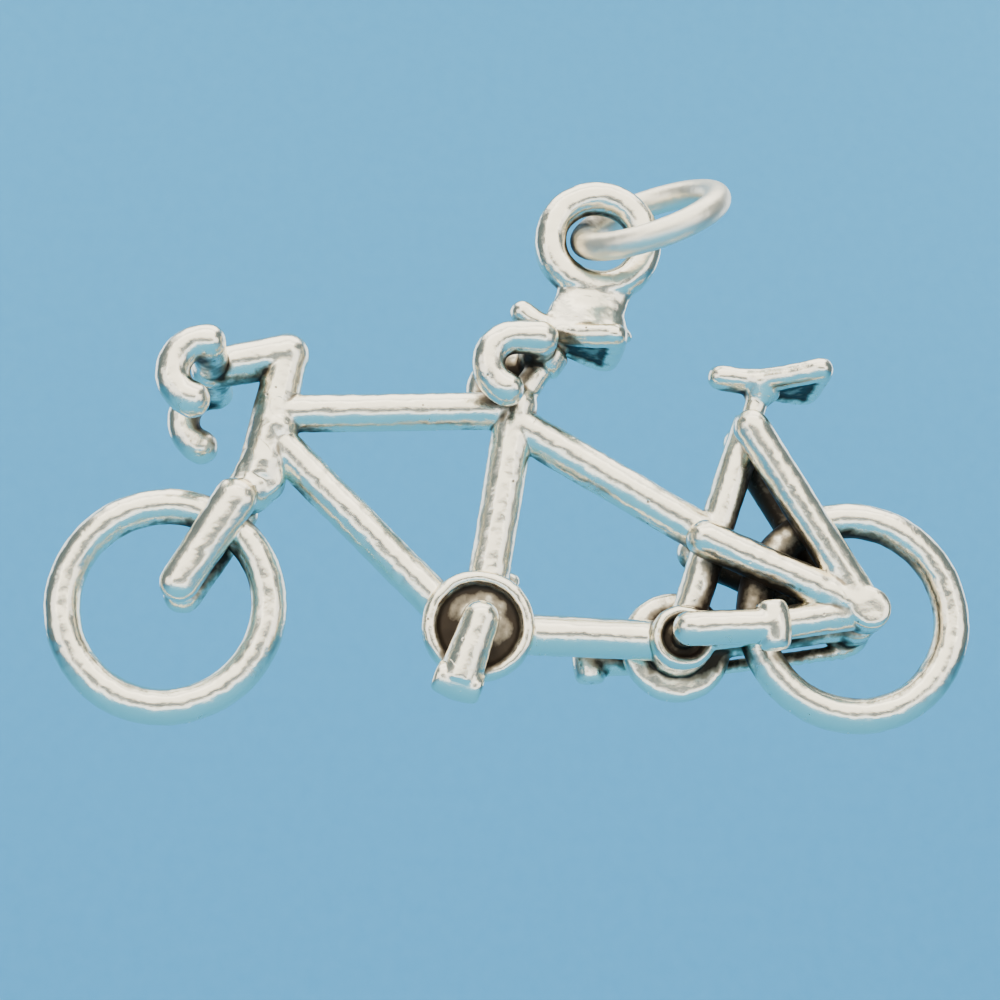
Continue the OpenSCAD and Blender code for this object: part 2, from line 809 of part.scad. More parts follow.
head_tube();
top_tube();
down_tube();
front_seat_tube();
boom_tube();
lateral_tube();
rear_seat_tube();
twin_lateral(LEFT);  // twin_lateral_left
twin_lateral(RIGHT);  // twin_lateral_right
seatstay(LEFT);  // seatstay_left
seatstay(RIGHT);  // seatstay_right
chainstay(LEFT);  // chainstay_left
chainstay(RIGHT);  // chainstay_right
dropout_end(LEFT);  // dropout_left
dropout_end(RIGHT);  // dropout_right
rear_sprocket();
chain();
crank_shell([0, 0, 0], RIGHT);  // front_crank_shell
dish([0, 0, 0], LEFT, false);  // front_timing_dish
crank_shell(rear_crank, LEFT);  // rear_crank_shell
dish(rear_crank, RIGHT, true);  // rear_drive_dish
fork_crown();
fork_blade(LEFT);  // fork_blade_left
fork_blade(RIGHT);  // fork_blade_right
wheel(front_hub);  // front_wheel
wheel(rear_hub);  // rear_wheel
stem();
front_handlebar();
stoker_collar();
stoker_handlebar();
front_seat_post();
rear_seat_post();
front_saddle();
rear_saddle();
bail_ring();
bail_foot();
jump_ring();
crank_axle([0, 0, 0], front_left_y, front_right_y);  // front_axle
front_arm(front_left_y, 0);  // front_crank_left
front_arm(front_right_y, 180);  // front_crank_right
crank_pedal([0, 0, 0], front_left_y, front_crank_len, front_crank_angle);  // front_pedal_left
crank_pedal([0, 0, 0], front_right_y, front_crank_len, front_crank_angle + 180);  // front_pedal_right
crank_axle(rear_crank, rear_left_y, rear_right_y);  // rear_axle
rear_arm(rear_left_y, 0);  // rear_crank_left
rear_arm(rear_right_y, 180);  // rear_crank_right
crank_pedal(rear_crank, rear_left_y, rear_crank_len, rear_crank_angle);  // rear_pedal_left
crank_pedal(rear_crank, rear_right_y, rear_crank_len, rear_crank_angle + 180);  // rear_pedal_right
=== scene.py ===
import math

import bmesh
import bpy
import numpy as np
from mathutils import Matrix, Vector, noise
from mathutils.bvhtree import BVHTree
from mathutils.kdtree import KDTree


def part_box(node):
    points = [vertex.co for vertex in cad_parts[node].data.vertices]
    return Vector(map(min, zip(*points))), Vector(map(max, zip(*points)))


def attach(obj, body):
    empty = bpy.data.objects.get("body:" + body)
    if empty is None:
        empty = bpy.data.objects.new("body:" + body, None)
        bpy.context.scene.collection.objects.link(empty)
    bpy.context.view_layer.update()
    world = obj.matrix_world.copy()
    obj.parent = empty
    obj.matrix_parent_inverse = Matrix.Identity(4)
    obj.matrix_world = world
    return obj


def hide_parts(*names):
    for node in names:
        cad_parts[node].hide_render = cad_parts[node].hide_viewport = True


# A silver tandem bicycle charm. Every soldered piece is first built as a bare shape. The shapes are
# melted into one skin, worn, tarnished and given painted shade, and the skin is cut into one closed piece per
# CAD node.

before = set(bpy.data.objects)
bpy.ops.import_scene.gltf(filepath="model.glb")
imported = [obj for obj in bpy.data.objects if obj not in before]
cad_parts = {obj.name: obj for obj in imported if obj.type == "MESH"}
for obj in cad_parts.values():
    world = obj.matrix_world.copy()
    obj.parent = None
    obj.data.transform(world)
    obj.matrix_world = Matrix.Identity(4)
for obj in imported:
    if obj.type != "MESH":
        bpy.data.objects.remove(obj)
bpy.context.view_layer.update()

MM = 0.001
FRAME_PITCH = 0.055  # mesh pitch of the soldered frame, in mm
CRANK_PITCH = 0.045  # mesh pitch of the cranksets
# Per-point share of oxide in hollows and of painted shade on sheltered and side-on metal
OXIDE_AND_SHADE = "oxide_and_shade_share"  # attribute: 0 on open metal, 1 in a crevice
LEFT, RIGHT = -1, 1


# ---------------------------------------------------------------- places, in mm

def middle(node):
    """Middle of a CAD node's box."""
    lo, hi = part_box(node)
    return (lo + hi) / 2 / MM


def hub(node):
    """Middle of a node's box, brought to the bicycle's middle plane."""
    p = middle(node)
    p.y = 0
    return p


def size(node):
    lo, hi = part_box(node)
    return (hi - lo) / MM


CAPTAIN_AXIS = middle("front_crank_shell")  # the design is drawn from the captain's crank axis


def at(x, z, y=0.0):
    """Point x behind and z above the captain's crank axis, y to the right of the middle plane."""
    return Vector((CAPTAIN_AXIS.x + x, y, CAPTAIN_AXIS.z + z))


def aside(p, side, y):
    """The same point on the left or the right, y from the middle plane."""
    return Vector((p.x, side * y, p.z))


def deg(a):
    return math.radians(a)


FRONT_HUB = middle("front_wheel")
REAR_HUB = middle("rear_wheel")
WHEEL_WIRE = size("front_wheel").y / 2
WHEEL_R = size("front_wheel").x / 2 - WHEEL_WIRE
FRONT_CRANK = at(0, 0)
REAR_CRANK = hub("rear_crank_shell")
CROWN = middle("fork_crown")
DROPOUT = hub("dropout_left")

HEAD_FOOT = at(-6.15, 4.3)
HEAD_TOP = at(-5.7035, 6.709)
STEM_TOP = at(-5.464, 8.0)
CAPTAIN_BAR = at(-7.58, 7.55)
SEAT_TOP = at(1.15, 6.75)
POST_TOP = at(2.35, 8.6)
POST_DIR = (POST_TOP - SEAT_TOP).normalized()
STOKER_SEAT_TOP = at(7.92, 6.35)
STOKER_POST_TOP = at(8.242, 7.3)
STOKER_BAR = at(1.7245, 8.2606)
COLLAR = at(2.0098, 8.0756)
FORK_TOP, FORK_END = at(-6.77, 3.5), at(-8.2, 1.1)
TWIN_START = at(6.349, 2.6)
SEATSTAY_START = at(7.7675, 5.9)


# ---------------------------------------------------------------- building bricks

def obj_from_bm(bm, name):
    me = bpy.data.meshes.new(name)
    bmesh.ops.recalc_face_normals(bm, faces=bm.faces[:])
    bm.to_mesh(me)
    bm.free()
    ob = bpy.data.objects.new(name, me)
    bpy.context.scene.collection.objects.link(ob)
    return ob


def wire(points, radii, name="wire", closed=False, smooth=True):
    """Round wire along the points, with a radius at each, in mm."""
    cu = bpy.data.curves.new(name, "CURVE")
    cu.dimensions = "3D"
    cu.bevel_depth = MM
    cu.bevel_resolution = 6
    cu.resolution_u = 6
    cu.use_fill_caps = True
    cu.twist_mode = "MINIMUM"
    sp = cu.splines.new("NURBS" if smooth and len(points) > 2 else "POLY")
    sp.points.add(len(points) - 1)
    for p, q, r in zip(sp.points, points, radii):
        p.co = (q[0] * MM, q[1] * MM, q[2] * MM, 1)
        p.radius = r
    if sp.type == "NURBS":
        sp.order_u = 3
        sp.use_endpoint_u = not closed
    sp.use_cyclic_u = closed
    ob = bpy.data.objects.new(name, cu)
    bpy.context.scene.collection.objects.link(ob)
    bpy.context.view_layer.update()
    dg = bpy.context.evaluated_depsgraph_get()
    me = bpy.data.meshes.new_from_object(ob.evaluated_get(dg))
    bpy.data.objects.remove(ob)
    bpy.data.curves.remove(cu)
    new = bpy.data.objects.new(name, me)
    bpy.context.scene.collection.objects.link(new)
    return new


def bead(p, r, squash=(1, 1, 1)):
    """Rounded lump of metal at p, in mm."""
    bm = bmesh.new()
    bmesh.ops.create_icosphere(bm, subdivisions=3, radius=r * MM)
    bmesh.ops.scale(bm, vec=squash, verts=bm.verts[:])
    bmesh.ops.translate(bm, vec=Vector(p) * MM, verts=bm.verts[:])
    return obj_from_bm(bm, "bead")


def lathe(profile, centre, name, steps=72):
    """Closed ring or disc spun from (radius, across) points, in mm, about the cross axis
    through the centre."""
    bm = bmesh.new()
    vs = [bm.verts.new((r * MM, y * MM, 0)) for r, y in profile]
    closed = profile[0][0] > 1e-6 and profile[-1][0] > 1e-6
    pairs = list(zip(vs, vs[1:])) + ([(vs[-1], vs[0])] if closed else [])
    edges = [bm.edges.new(p) for p in pairs]
    bmesh.ops.spin(bm, geom=vs + edges, cent=(0, 0, 0), axis=(0, 1, 0), angle=2 * math.pi,
                   steps=steps, use_merge=True)
    bmesh.ops.remove_doubles(bm, verts=bm.verts[:], dist=1e-7)
    bmesh.ops.translate(bm, vec=Vector(centre) * MM, verts=bm.verts[:])
    return obj_from_bm(bm, name)


def rounded(x0, x1, y0, y1, r, n=5):
    """Rectangle in the (radius, across) plane with rounded corners of n points each."""
    pts = []
    corners = ((x1 - r, y1 - r, 0), (x0 + r, y1 - r, 90), (x0 + r, y0 + r, 180), (x1 - r, y0 + r, 270))
    for cx, cy, a0 in corners:
        for k in range(n):
            a = deg(a0 + 90 * k / (n - 1))
            pts.append((cx + r * math.cos(a), cy + r * math.sin(a)))
    return pts


def copy_of(objs, name):
    """One mesh of all the given ones, still overlapping."""
    bm = bmesh.new()
    for o in objs:
        bm.from_mesh(o.data)
    return obj_from_bm(bm, name)


def drop_object(ob):
    me = ob.data
    bpy.data.objects.remove(ob)
    bpy.data.meshes.remove(me)


def apply_modifiers(ob):
    bpy.context.view_layer.update()
    dg = bpy.context.evaluated_depsgraph_get()
    me = bpy.data.meshes.new_from_object(ob.evaluated_get(dg))
    old = ob.data
    ob.modifiers.clear()
    ob.data = me
    bpy.data.meshes.remove(old)
    return ob


# ---------------------------------------------------------------- bare shapes of every soldered piece

def rod(a, b, r, r_end=None):
    """Straight wire, with its radius at each end."""
    n = 7
    last = r if r_end is None else r_end
    return wire([a.lerp(b, i / (n - 1)) for i in range(n)],
                [r + (last - r) * i / (n - 1) for i in range(n)], "rod", smooth=False)


def flatten(ob, y, share):
    """Squeezes a rod to an oval across, about its own line at y."""
    bm = bmesh.new()
    bm.from_mesh(ob.data)
    bmesh.ops.translate(bm, vec=(0, -y * MM, 0), verts=bm.verts[:])
    bmesh.ops.scale(bm, vec=(1, share, 1), verts=bm.verts[:])
    bmesh.ops.translate(bm, vec=(0, y * MM, 0), verts=bm.verts[:])
    bm.to_mesh(ob.data)
    bm.free()
    return ob


def arc(centre, r, start, turn, n=14):
    """Points round an arc in the middle plane, from the start angle through the turn, in degrees."""
    angles = [deg(start + turn * i / n) for i in range(n + 1)]
    return [centre + Vector((r * math.cos(a), 0, r * math.sin(a))) for a in angles]


def loft(rings, name):
    """Closed solid through level ovals, each (x, y, z, half length, half width)."""
    bm = bmesh.new()
    ring = bmesh.ops.create_circle(bm, cap_ends=True, segments=32, radius=1)["verts"]
    faces = bm.faces[:]
    below = rings[0]
    bmesh.ops.scale(bm, vec=(below[3] * MM, below[4] * MM, 1), verts=ring)
    bmesh.ops.translate(bm, vec=Vector(below[:3]) * MM, verts=ring)
    for level in rings[1:]:
        grown = bmesh.ops.extrude_face_region(bm, geom=faces)["geom"]
        inner = faces
        faces = [g for g in grown if isinstance(g, bmesh.types.BMFace)]
        verts = [g for g in grown if isinstance(g, bmesh.types.BMVert)]
        if below is not rings[0]:
            bmesh.ops.delete(bm, geom=inner, context="FACES_ONLY")
        bmesh.ops.translate(bm, vec=Vector(below[:3]) * -MM, verts=verts)
        bmesh.ops.scale(bm, vec=(level[3] / below[3], level[4] / below[4], 1), verts=verts)
        bmesh.ops.translate(bm, vec=Vector(level[:3]) * MM, verts=verts)
        below = level
    return obj_from_bm(bm, name)


SADDLE_HALF, SADDLE_TAIL, SADDLE_NOSE = 1.7, 1.5, 0.3  # half length, half width behind and in front
SADDLE_THICK = 0.46
SADDLE_RIM = 0.29  # radius of the rolled rim


def saddle_half_width(x):
    """Half the saddle's width at x along it: narrow nose, broad tail, rounded corners."""
    nose_len, corner = 1.05, 0.34
    from_nose, from_tail = x + SADDLE_HALF, SADDLE_HALF - x
    wide = SADDLE_NOSE + (SADDLE_TAIL - SADDLE_NOSE) * max(
        0.0, (from_nose - nose_len) / (2 * SADDLE_HALF - nose_len)) ** 1.12
    if from_nose < SADDLE_NOSE:
        wide *= math.sqrt(max(0.0, 1 - (1 - from_nose / SADDLE_NOSE) ** 2))
    if from_tail < corner:
        wide -= corner * (1 - math.sqrt(max(0.0, 1 - (1 - from_tail / corner) ** 2)))
    return wide


def saddle(post, tilt, set_back, dip_r, name):
    """Plate dipped along its length, with a fat rolled rim all round."""
    place = Matrix.Translation(post) @ Matrix.Rotation(deg(tilt), 4, "Y")
    place = place @ Matrix.Translation((set_back, 0, 0))

    def mid_height(x):
        return dip_r - math.sqrt(dip_r ** 2 - x ** 2) + SADDLE_THICK / 2

    bm = bmesh.new()
    bmesh.ops.create_grid(bm, x_segments=44, y_segments=20, size=1)
    for v in bm.verts:
        x = v.co.x * (SADDLE_HALF - 0.12)
        y = v.co.y * max(0.05, saddle_half_width(x) - 0.16)
        v.co = Vector((x, y, mid_height(x) + SADDLE_THICK * 0.42)) * MM
    bmesh.ops.solidify(bm, geom=bm.verts[:] + bm.edges[:] + bm.faces[:], thickness=SADDLE_THICK * 0.84 * MM)
    bmesh.ops.transform(bm, matrix=Matrix.Scale(MM, 4) @ place @ Matrix.Scale(1 / MM, 4), verts=bm.verts[:])
    plate = obj_from_bm(bm, name)

    steps = 22
    run = 2 * SADDLE_HALF - 2 * SADDLE_RIM
    xs = [-SADDLE_HALF + SADDLE_RIM + run * k / steps for k in range(steps + 1)]
    side = [(x, max(0.06, saddle_half_width(x) - SADDLE_RIM * 0.75)) for x in xs]
    loop = side + [(x, -y) for x, y in side[::-1]]
    pts = [place @ Vector((x, y, mid_height(x))) for x, y in loop]
    return [plate, wire(pts, [SADDLE_RIM] * len(pts), name + "_rim", closed=True)]


def drop_bar(p, half, reach, r, turn, wire_r, tip_r, name):
    """One wire: hook, level bar, hook."""
    hook = [p + Vector((-reach * k, 0, 0)) for k in (0.0, 0.5)]
    hook += arc(p + Vector((-reach, 0, -r)), r, 90, turn)
    left = [aside(q, LEFT, half) for q in hook]
    right = [aside(q, RIGHT, half) for q in hook]
    level = [aside(p, 1, -half + 2 * half * k / 8) for k in range(1, 8)]
    pts = left[::-1] + level + right
    radii = [tip_r] * 2 + [wire_r] * (len(pts) - 4) + [tip_r] * 2
    ends = [bead(pts[0], tip_r), bead(pts[-1], tip_r)]
    knees = [bead(aside(p, side, half - 0.03), wire_r * 1.06) for side in (LEFT, RIGHT)]
    return [wire(pts, radii, name)] + ends + knees


DISH_R, DISH_RIM, DISH_FLOOR = 1.5, 0.3, 0.26
SHELL_R, SHELL_RIM, CUP_DEPTH = 0.85, 0.22, 0.24


def dish(centre, y_back, y_out, side):
    """Shallow round pan with a raised lip, open to its outer side."""
    r, lip = DISH_R, DISH_R - DISH_RIM
    y_floor = y_back + side * DISH_FLOOR
    prof = [(0.0, y_back), (r * 0.8, y_back), (r - 0.06, y_back + side * 0.02), (r, y_back + side * 0.1),
            (r, y_out - side * 0.12), (r - 0.08, y_out), (lip + 0.08, y_out), (lip, y_out - side * 0.1),
            (lip - 0.03, y_floor + side * 0.06), (lip - 0.14, y_floor), (0.0, y_floor)]
    return lathe(prof, centre, "dish")


def shell(centre, y_closed, y_cup, side):
    """Crank shell, a barrel with a small cup in its open end."""
    r, lip = SHELL_R, SHELL_R - SHELL_RIM
    y_floor = y_cup - side * CUP_DEPTH
    prof = [(0.0, y_closed), (r, y_closed), (r, y_cup - side * 0.1), (r - 0.06, y_cup), (lip + 0.05, y_cup),
            (lip, y_cup - side * 0.08), (lip - 0.02, y_floor), (0.0, y_floor)]
    return lathe(prof, centre, "shell")


def main_tubes():
    return {
        "head_tube": [rod(HEAD_FOOT, HEAD_TOP, 0.6, 0.56), bead(at(-5.75, 5.75), 0.62),
                      bead(at(-6.05, 4.75), 0.62)],
        "top_tube": [rod(at(-5.79, 6.23), at(1.11, 6.5), 0.48)],
        "down_tube": [rod(at(-5.9, 5.63), at(-0.1, -0.2), 0.5)],
        "front_seat_tube": [rod(at(0.1, 0.1), SEAT_TOP, 0.53), bead(SEAT_TOP - Vector((0, 0, 0.1)), 0.54)],
        "boom_tube": [rod(at(0.3, 0), REAR_CRANK, 0.51)],
        "lateral_tube": [rod(at(1.05, 6.1), at(6.717, 2.8), 0.515)],
        "rear_seat_tube": [rod(REAR_CRANK + Vector((0.1, 0, 0.3)), STOKER_SEAT_TOP, 0.44)],
    }


def twin_tubes(side, suffix):
    """Twin lateral, seat stay, chain stay and dropout end of one side."""
    def stay(start, y, r):
        return [rod(aside(start, side, y), aside(DROPOUT, side, y), r), bead(aside(start, side, y), r)]

    chainstay_start = aside(REAR_CRANK + Vector((0.8, 0, 0.1)), side, 0.76)
    y_in, y_out = sorted((side * 0.34, side * 1.29))
    return {
        "twin_lateral" + suffix: stay(TWIN_START, 0.815, 0.475),
        "seatstay" + suffix: stay(SEATSTAY_START, 0.805, 0.465),
        "chainstay" + suffix: [rod(chainstay_start, aside(DROPOUT, side, 0.76), 0.42)],
        "dropout" + suffix: [lathe(rounded(0.0, 0.54, y_in, y_out, 0.1), DROPOUT, "dropout")],
    }


def fork_blade(side):
    """Oval wire from the crown to the front wheel's ring."""
    y, oval = 0.7, 0.74
    top, end = aside(FORK_TOP, side, y), aside(FORK_END, side, y)
    return [flatten(rod(top, end, 0.56, 0.5), side * y, oval), bead(end, 0.5, squash=(1, 0.76, 1)),
            bead(top, 0.56, squash=(1, oval, 1))]


def fork_crown():
    return [lathe(rounded(0.0, 0.65, -0.4, 0.4, 0.1), CROWN, "crown"),
            bead(HEAD_FOOT, 0.7, squash=(1, 0.75, 1)), bead(at(-6.4, 3.95), 0.62)]


def wheel(centre):
    """Plain ring of round wire."""
    around = [deg(a) for a in range(0, 360, 15)]
    return [lathe([(WHEEL_R + WHEEL_WIRE * math.cos(a), WHEEL_WIRE * math.sin(a)) for a in around],
                  centre, "wheel", 144)]


def chain():
    """Thin band from the drive boss round the sprocket, with ribs showing below the stays."""
    y, boss_r, sprocket_r, band_r = 1.45, 0.63, 0.68, 0.15
    sprocket = aside(REAR_HUB, 1, 0)
    along = (sprocket - REAR_CRANK).normalized()
    up = Vector((-along.z, 0, along.x))
    half_turn = [deg(a) for a in range(0, 181, 20)]
    loop = [REAR_CRANK + (up * math.cos(a) - along * math.sin(a)) * boss_r for a in half_turn]
    loop += [sprocket - (up * math.cos(a) - along * math.sin(a)) * sprocket_r for a in half_turn]
    band = wire([aside(q, RIGHT, y) for q in loop], [band_r] * len(loop), "chain", closed=True)
    first_rib, rib_step = 0.1, 0.32
    ribs = [sprocket - up * (sprocket_r + 0.04) - along * (first_rib + rib_step * i) for i in range(6)]
    return [band] + [bead(aside(q, RIGHT, y), 0.13, squash=(0.7, 1.3, 1.3)) for q in ribs]


def drive():
    return {
        "rear_sprocket": [lathe(rounded(0.0, 0.6, 1.2, 1.6, 0.08), REAR_HUB, "sprocket")],
        "chain": chain(),
        "front_crank_shell": [shell(FRONT_CRANK, -0.6, 0.8, RIGHT)],
        "front_timing_dish": [dish(FRONT_CRANK, -0.5, -1.02, LEFT)],
        "rear_crank_shell": [shell(REAR_CRANK, 0.6, -0.8, LEFT)],
        "rear_drive_dish": [dish(REAR_CRANK, 0.5, 1.02, RIGHT),
                            lathe(rounded(0.0, 0.5, 0.6, 1.61, 0.06), REAR_CRANK, "boss")],
    }


def bars():
    return {
        "stem": [rod(HEAD_TOP, STEM_TOP, 0.54), rod(STEM_TOP, CAPTAIN_BAR, 0.56, 0.53), bead(STEM_TOP, 0.58),
                 bead(CAPTAIN_BAR, 0.56, squash=(1, 0.9, 1))],
        "front_handlebar": drop_bar(CAPTAIN_BAR, 2.22, 0.06, 0.87, 158, 0.42, 0.45, "captain_bar"),
        "stoker_handlebar": drop_bar(STOKER_BAR, 1.3, 0.7, 0.8, 160, 0.42, 0.44, "stoker_bar"),
        "stoker_collar": [rod(COLLAR - POST_DIR * 0.3, COLLAR + POST_DIR * 0.3, 0.5),
                          bead(STOKER_BAR, 0.5, squash=(1, 0.9, 1))],
    }


def seats():
    return {
        "front_seat_post": [rod(SEAT_TOP, POST_TOP + POST_DIR * 0.2, 0.34)],
        "rear_seat_post": [rod(STOKER_SEAT_TOP, STOKER_POST_TOP + Vector((0.04, 0, 0.1)), 0.26),
                           rod(at(8.1, 6.9), at(8.26, 7.36), 0.26, 0.56)],
        "front_saddle": saddle(POST_TOP, 21, 0.1, 4.4, "captain_saddle"),
        "rear_saddle": saddle(STOKER_POST_TOP, 1, 0.2, 8.5, "stoker_saddle"),
    }


def bail():
    """Hanging ring round the origin, and the flared foot that joins it to the captain's saddle."""
    eye_r, out_r, half, chamfer = 1.02, 1.8, 0.43, 0.2
    section = [(eye_r, chamfer - half), (eye_r + chamfer, -half),
               (out_r - chamfer, -half), (out_r, chamfer - half),
               (out_r, half - chamfer), (out_r - chamfer, half),
               (eye_r + chamfer, half), (eye_r, half - chamfer)]
    levels = [(-0.52, 0, -3.0, 1.45, 0.75), (-0.5, 0, -2.7, 1.25, 0.62), (-0.4, 0, -2.25, 1.08, 0.46),
              (-0.2, 0, -1.8, 1.04, 0.4), (0, 0, -1.35, 1.1, 0.4)]
    return {"bail_ring": [lathe(section, Vector((0, 0, 0)), "bail", 96)], "bail_foot": [loft(levels, "foot")]}


def soldered():
    """Bare shapes of the bicycle's pieces, by CAD node."""
    pieces = main_tubes() | drive() | bars() | seats() | bail()
    pieces["fork_crown"] = fork_crown()
    for side, suffix in ((LEFT, "_left"), (RIGHT, "_right")):
        pieces |= twin_tubes(side, suffix)
        pieces["fork_blade" + suffix] = fork_blade(side)
    pieces["front_wheel"] = wheel(FRONT_HUB)
    pieces["rear_wheel"] = wheel(REAR_HUB)
    return pieces


def crankset(centre, y_left, y_right, length, angle, root, tip):
    """Axle, two opposed arms and two barrel pedals."""
    axle_r, pedal_r, pedal_half = 0.3, 0.4, 0.42
    ends = [(centre.x, y_left, centre.z), (centre.x, y_right, centre.z)]
    pieces = {"axle": [wire(ends, [axle_r] * 2, "axle", smooth=False)]}
    stations = (-1.5, -1.2, -0.6, 0, 0.6, 1.2, 1.5)  # along the barrel, in half lengths
    belly = (0.86, 1.0, 1.1, 1.14, 1.1, 1.0, 0.86)  # share of the barrel's radius at each
    for side, y, a in (("left", y_left, angle), ("right", y_right, angle + 180)):
        along = Vector((math.cos(deg(a)), 0, math.sin(deg(a))))
        across = Vector((math.cos(deg(a + 90)), 0, math.sin(deg(a + 90))))
        base = Vector((centre.x, y, centre.z))
        end = base + along * length
        pieces["crank_" + side] = [rod(base, end, root, tip), bead(base, root)]
        pieces["pedal_" + side] = [wire([end + across * pedal_half * k for k in stations],
                                        [pedal_r * k for k in belly], "barrel", smooth=False)]
    return pieces


# ---------------------------------------------------------------- melt, wear, cut apart

def melter(ob, pitch):
    """Adds a voxel remesh of the given pitch, in mm."""
    m = ob.modifiers.new("melt", "REMESH")
    m.mode = "VOXEL"
    m.voxel_size = pitch * MM


def grower(ob, by):
    """Adds an even growth of the surface, in mm."""
    m = ob.modifiers.new("grow", "DISPLACE")
    m.strength = by * MM
    m.mid_level = 0


def fuse(ob, pitch, passes, build_up):
    """Melts overlapping metal into one skin and draws fillets where pieces meet. The build-up gives
    back the thickness in mm that the drawing takes off thin wire."""
    melter(ob, pitch)
    s = ob.modifiers.new("draw", "SMOOTH")
    s.factor = 0.5
    s.iterations = passes
    grower(ob, build_up)
    return apply_modifiers(ob)


def swollen(objs, by):
    """Cutter that reaches a little beyond the bare shape, in mm."""
    pitch = 0.11
    ob = copy_of(objs, "cutter")
    melter(ob, pitch)
    grower(ob, by)
    melter(ob, pitch)
    return apply_modifiers(ob)


def boolean(ob, other, how):
    m = ob.modifiers.new("cut", "BOOLEAN")
    m.operation = how
    m.solver = "MANIFOLD"
    m.object = other
    return apply_modifiers(ob)


def vertex_arrays(me):
    """Places, normals and edge ends of a mesh, as arrays."""
    co = np.empty(len(me.vertices) * 3)
    me.vertices.foreach_get("co", co)
    no = np.empty(len(me.vertices) * 3)
    me.vertices.foreach_get("normal", no)
    ed = np.empty(len(me.edges) * 2, np.int64)
    me.edges.foreach_get("vertices", ed)
    return co.reshape(-1, 3), no.reshape(-1, 3), ed.reshape(-1, 2)


def hammer(ob, peel, peel_size, lump, lump_size, seed):
    """Uneven cast surface: a fine orange peel and slow lumps, in mm, along the normals."""
    me = ob.data
    shift = Vector((seed * 7.3, seed * 3.1, seed * 5.7))
    co, no, _ = vertex_arrays(me)
    for i in range(len(co)):
        p = Vector(co[i]) / MM
        d = peel * noise.noise(p / peel_size + shift) + lump * noise.noise(p / lump_size - shift)
        co[i] += no[i] * (d * MM)
    me.vertices.foreach_set("co", co.ravel())
    me.update()


def spread(values, edges, passes):
    """Averages a value with its neighbours'."""
    n = len(values)
    a, b = edges.T
    neighbours = np.bincount(edges.ravel(), minlength=n).clip(1)
    values = values.copy()
    for _ in range(passes):
        for k in range(values.shape[1]):
            total = np.bincount(a, values[b, k], n) + np.bincount(b, values[a, k], n)
            values[:, k] = 0.5 * values[:, k] + 0.5 * total / neighbours
    return values


def hollows(ob):
    """How far each point lies below its surroundings, in mm; above zero in grooves and inner corners."""
    co, no, ed = vertex_arrays(ob.data)
    calm = spread(co, ed, 30)
    return ((calm - co) * no).sum(1) / MM


def sky_rays(count=28, widest=0.92, golden_angle=2.39996):
    """Even directions round the z axis, down to nearly level."""
    rays = []
    for i in range(count):
        z = 1 - (i + 0.5) / count * widest
        r = math.sqrt(1 - z * z)
        rays.append((r * math.cos(i * golden_angle), r * math.sin(i * golden_angle), z))
    return rays


def hidden_share(start, normal, tree, rays, reach):
    """Share of the sky over one point that metal within reach hides, near metal more than far."""
    turn = normal.to_track_quat("Z", "Y").to_matrix()
    total = hit = 0.0
    for ray in rays:
        weight = ray[2] + 0.15
        total += weight
        _, _, face, distance = tree.ray_cast(start, turn @ Vector(ray), reach)
        if face is not None:
            hit += weight * (1 - distance / reach) ** 0.5
    return hit / total


def shelter(ob, others, reach):
    """Share of the sky that nearby metal hides from each point, 0 to 1, worked out on a coarse copy."""
    coarse_pitch, lift = 0.16, 0.06
    rough = copy_of([ob], "rough")
    melter(rough, coarse_pitch)
    apply_modifiers(rough)
    bm = bmesh.new()
    for o in others:
        bm.from_mesh(o.data)
    tree = BVHTree.FromBMesh(bm)
    bm.free()
    rays = sky_rays()
    kd = KDTree(len(rough.data.vertices))
    hidden = []
    for i, v in enumerate(rough.data.vertices):
        start = v.co + v.normal * (lift * MM)
        hidden.append(hidden_share(start, v.normal, tree, rays, reach * MM))
        kd.insert(v.co, i)
    kd.balance()
    shares = []
    for v in ob.data.vertices:
        near = [(1 / (d + 1e-6), hidden[i]) for _, i, d in kd.find_n(v.co, 3)]
        shares.append(sum(w * h for w, h in near) / sum(w for w, _ in near))
    drop_object(rough)
    return np.array(shares)


def store_cavity(me, values):
    me.attributes.new(OXIDE_AND_SHADE, "FLOAT", "POINT").data.foreach_set("value", values)


def tarnish_and_shade(ob, others, reach=5.0):
    """Stores the darkening share on the mesh: oxide in hollows, oxide and painted shade on points that
    nearby metal shelters, and painted shade on surfaces turned side-on to the charm's face."""
    # Sheltered points: partly oxide, partly painted shade where nearby metal blocks the light
    sheltered = np.clip((shelter(ob, others, reach) - 0.1) / 0.42, 0, 1)
    sunken = np.clip(hollows(ob) * 24, -0.35, 1.0)
    _, no, ed = vertex_arrays(ob.data)
    # Painted shade: surfaces turned side-on to the charm's face are darkened
    side_on_shade = (1 - np.abs(no[:, 1])) ** 1.6
    share = np.clip(sheltered + sunken + 0.3 * side_on_shade, 0, 1)
    store_cavity(ob.data, spread(share[:, None], ed, 2)[:, 0].astype(np.float32))


def skin_cavity(ob):
    """Search tree over a skin's points, and the share of oxide and painted shade at each."""
    shares = [0.0] * len(ob.data.vertices)
    ob.data.attributes[OXIDE_AND_SHADE].data.foreach_get("value", shares)
    kd = KDTree(len(shares))
    for i, v in enumerate(ob.data.vertices):
        kd.insert(v.co, i)
    kd.balance()
    return kd, shares


def keep_tarnish_and_shade(piece, source):
    """Copies the share of oxide and painted shade from the whole skin onto a piece cut from it."""
    kd, shares = source
    me = piece.data
    mixed = me.attributes.get(OXIDE_AND_SHADE)
    if mixed:
        me.attributes.remove(mixed)
    store_cavity(me, [shares[kd.find(v.co)[1]] for v in me.vertices])


def finish_piece(ob, name, body, node, finish):
    ob.name = name
    ob.data.name = name
    for poly in ob.data.polygons:
        poly.use_smooth = True
    ob.data.set_sharp_from_angle(angle=deg(52))
    ob.data.materials.clear()
    ob.data.materials.append(finish)
    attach(ob, body)
    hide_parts(node)


